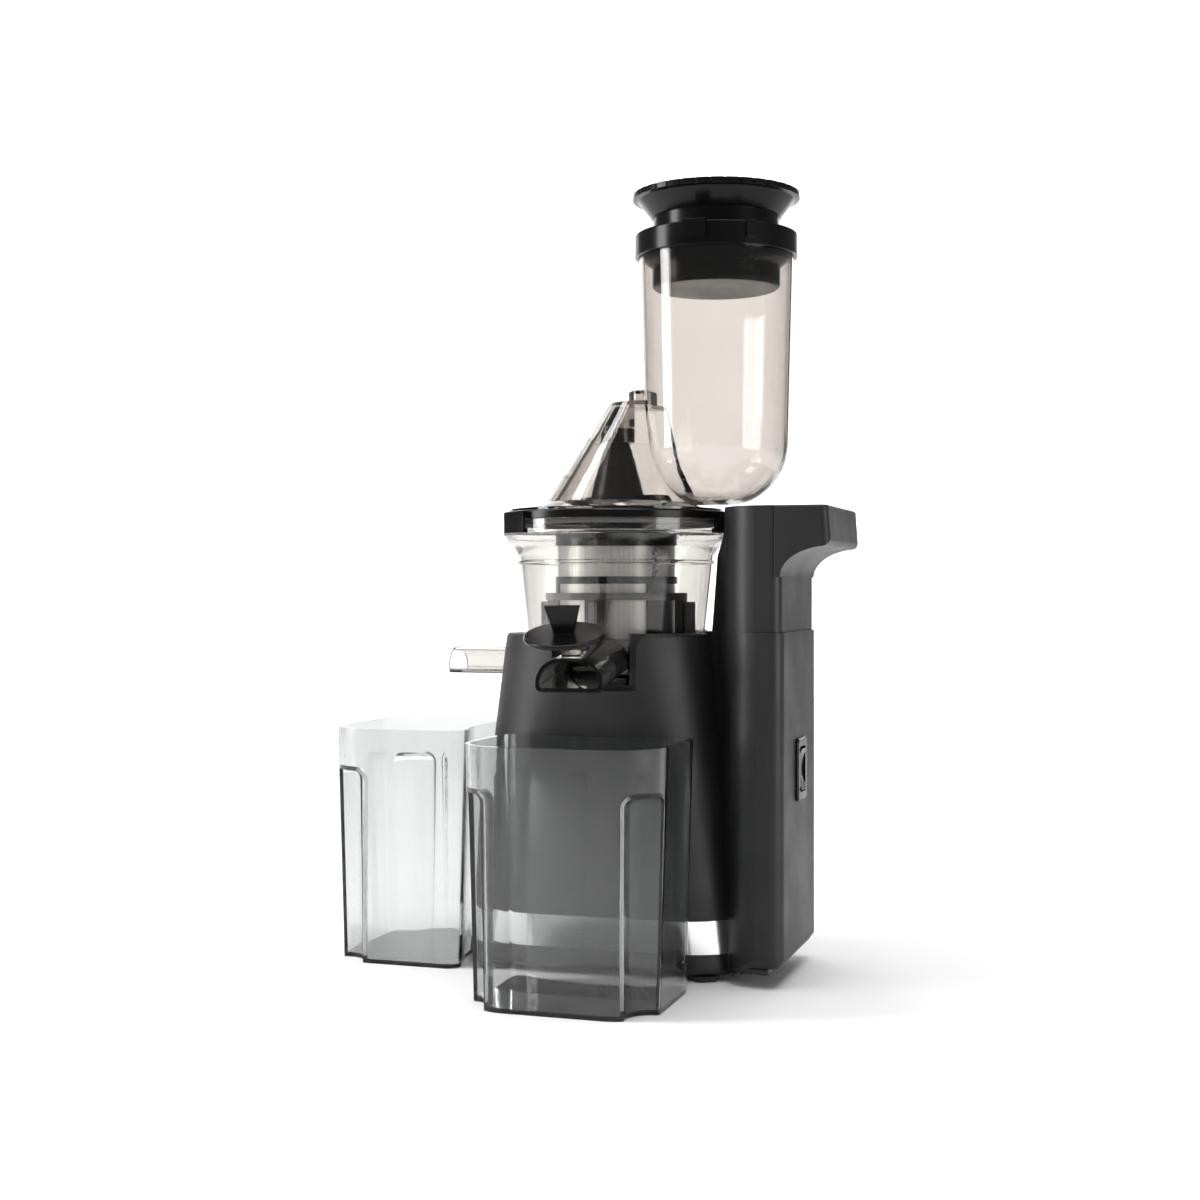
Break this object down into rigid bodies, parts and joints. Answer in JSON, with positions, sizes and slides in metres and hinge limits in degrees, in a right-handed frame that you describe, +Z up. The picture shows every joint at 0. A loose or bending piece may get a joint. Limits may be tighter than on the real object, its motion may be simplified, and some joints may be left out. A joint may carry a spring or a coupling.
{
  "type": "cold press juicer",
  "caption": "Upright slow juicer: geared drive base, clear bowl with auger and strainer, wide chute lid with pusher, juice jug and pulp cup.",
  "frame": {"origin": "middle of the footprint, on the floor", "axes": "+Z up, juice spout towards -Y, pulp spout towards -X, tower and lifting lip towards +X"},
  "size_m": [0.2877, 0.2062, 0.4283],
  "materials": {
    "housing": "fine satin grain",
    "base_black": "satin",
    "band_chrome": "brushed bright",
    "foot_rubber": "matte",
    "fastener_steel": "satin",
    "shaft_steel": "ground",
    "motor_steel": "zinc plated",
    "core_iron": "laminated",
    "coil_copper": "varnished copper",
    "gear_plastic": "natural nylon",
    "gear_steel": "machined",
    "case_metal": "die cast",
    "bush_bronze": "sintered bronze",
    "bowl_clear": "clear, faint smoke tint",
    "hopper_smoke": "smoke tinted, clear",
    "cup_clear": "clear",
    "gloss_black": "polished",
    "silicone": "matte, translucent",
    "silicone_black": "matte",
    "strainer_steel": "brushed",
    "strainer_plastic": "satin",
    "brush_plastic": "satin",
    "auger_plastic": "satin",
    "board_green": "lacquered"
  },
  "bodies": {
    "base": {"front_cowl": "housing", "trim_band": "band_chrome", "rear_lower_housing": "housing", "rear_upper_housing": "housing", "base_plate": "base_black", "feet": "foot_rubber", "base_screws": "fastener_steel", "motor_can": "motor_steel", "motor_end_cap": "case_metal", "motor_bushes": "bush_bronze", "stator_core": "core_iron", "stator_coils": "coil_copper", "gearbox_case": "case_metal", "gearbox_cover": "case_metal", "gear_axle": "fastener_steel", "drive_bush": "bush_bronze", "switch_bezel": "gloss_black", "cord_gland": "foot_rubber", "control_board": "board_green"},
    "rotor": {"rotor_core": "core_iron", "cooling_fan": "gear_plastic", "motor_shaft": "shaft_steel"},
    "idler": {"intermediate_gear": "gear_plastic"},
    "drive": {"drive_shaft": "shaft_steel", "output_wheel": "gear_steel"},
    "bowl": {"bowl": "bowl_clear", "bowl_seal": "silicone", "cap_pin": "fastener_steel", "strainer_mesh": "strainer_steel", "strainer_frame": "strainer_plastic"},
    "auger": {"auger_core": "auger_plastic", "auger_flights": "auger_plastic"},
    "brush": {"brush_frame": "brush_plastic", "brush_wipers": "silicone"},
    "lid": {"hopper": "hopper_smoke", "auger_bush": "auger_plastic", "lid_ring": "gloss_black", "lid_gasket": "silicone", "chute_collar": "gloss_black"},
    "pusher": {"pusher": "gloss_black"},
    "juice_cap": {"juice_cap": "gloss_black", "cap_plug": "silicone_black"},
    "rocker": {"switch_rocker": "gloss_black"},
    "juice_jug": {"juice_jug": "cup_clear"},
    "pulp_cup": {"pulp_cup": "cup_clear"}
  },
  "joints": [
    {"name": "drive_spin", "type": "hinge", "parent": "base", "child": "drive", "pos_m": [0.0141, 0.0377, 0.12], "axis": [0, 0, 1], "continuous": true},
    {"name": "idler_spin", "type": "hinge", "parent": "base", "child": "idler", "pos_m": [0.0456, 0.0377, 0.11], "axis": [0, 0, 1], "continuous": true},
    {"name": "rotor_spin", "type": "hinge", "parent": "base", "child": "rotor", "pos_m": [0.0141, 0.0377, 0.06], "axis": [0, 0, 1], "continuous": true},
    {"name": "bowl_lift", "type": "slide", "parent": "base", "child": "bowl", "axis": [0, 0, 1], "range_m": [0, 0.11]},
    {"name": "auger_spin", "type": "hinge", "parent": "bowl", "child": "auger", "pos_m": [0.0141, 0.0377, 0.2], "axis": [0, 0, 1], "continuous": true},
    {"name": "brush_spin", "type": "hinge", "parent": "bowl", "child": "brush", "pos_m": [0.0141, 0.0377, 0.195], "axis": [0, 0, 1], "continuous": true},
    {"name": "lid_twist", "type": "hinge", "parent": "bowl", "child": "lid", "pos_m": [0.0141, 0.0377, 0.25], "axis": [0, 0, 1], "range_deg": [-25, 0]},
    {"name": "pusher_slide", "type": "slide", "parent": "lid", "child": "pusher", "axis": [0, 0, 1], "range_m": [-0.009, 0.05]},
    {"name": "cap_swing", "type": "hinge", "parent": "bowl", "child": "juice_cap", "pos_m": [0.02308, -0.06491, 0.182], "axis": [0.9962, 0.0872, 0], "range_deg": [0, 73.5]},
    {"name": "switch_rock", "type": "hinge", "parent": "base", "child": "rocker", "pos_m": [0.1151, 0.0377, 0.112], "axis": [0, 1, 0], "range_deg": [-8, 8]},
    {"name": "jug_slide", "type": "slide", "parent": "base", "child": "juice_jug", "axis": [0, -1, 0], "range_m": [0, 0.12]},
    {"name": "pulp_cup_slide", "type": "slide", "parent": "base", "child": "pulp_cup", "axis": [-1, 0, 0], "range_m": [0, 0.12]}
  ],
  "couplings": [
    {"joint": "idler_spin", "follows": "drive_spin", "ratio": -4.8333},
    {"joint": "rotor_spin", "follows": "drive_spin", "ratio": 23.361},
    {"joint": "auger_spin", "follows": "drive_spin", "ratio": 1},
    {"joint": "brush_spin", "follows": "drive_spin", "ratio": -0.35}
  ]
}
